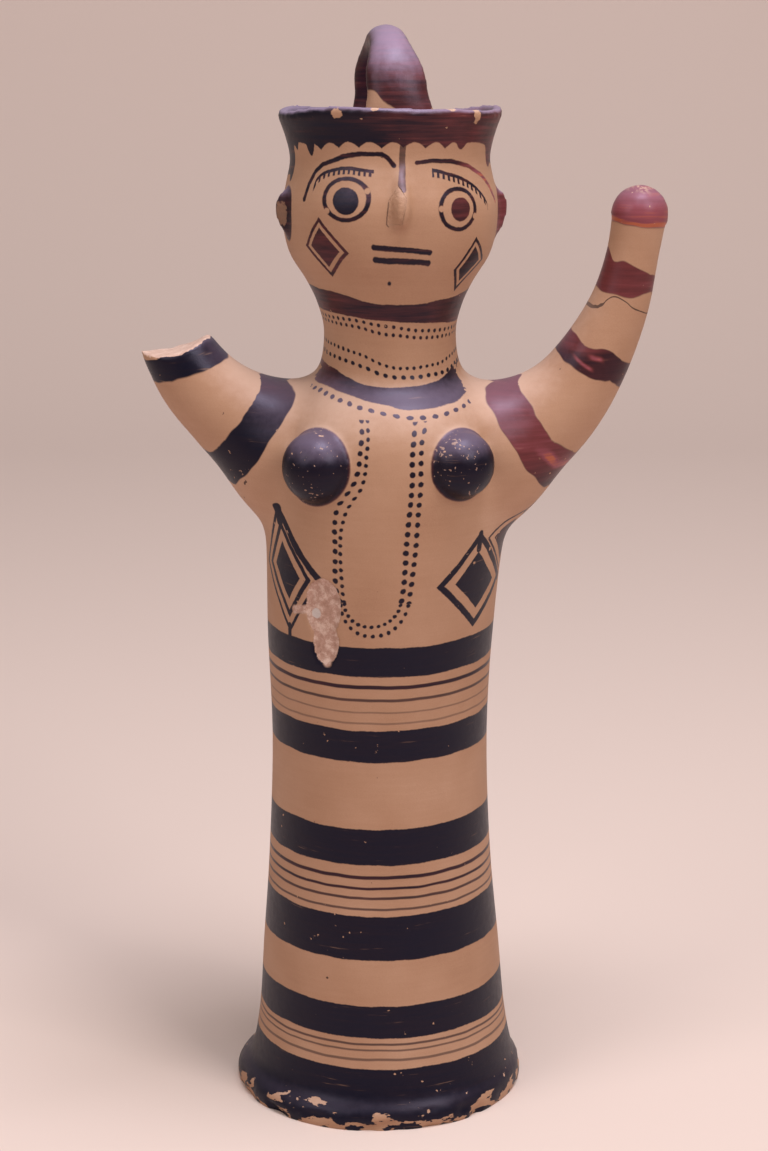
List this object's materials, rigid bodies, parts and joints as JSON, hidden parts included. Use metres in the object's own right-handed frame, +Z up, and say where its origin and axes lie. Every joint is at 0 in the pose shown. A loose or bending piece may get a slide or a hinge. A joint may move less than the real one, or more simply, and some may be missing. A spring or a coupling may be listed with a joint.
{
  "type": "terracotta figurine",
  "caption": "Hollow wheel-made clay figurine of a standing woman with raised arms, a flaring crown with a loop, and painted bands, dots and lozenges.",
  "frame": {"origin": "bottom centre of the object's box, on the plane that its foot stands on", "axes": "+Z up through the crown, -Y the way she faces, +X to her left"},
  "size_m": [0.174, 0.0996, 0.3694],
  "materials": {
    "fired_clay": "matte"
  },
  "bodies": {
    "root": {"figurine": "fired_clay"}
  },
  "joints": []
}
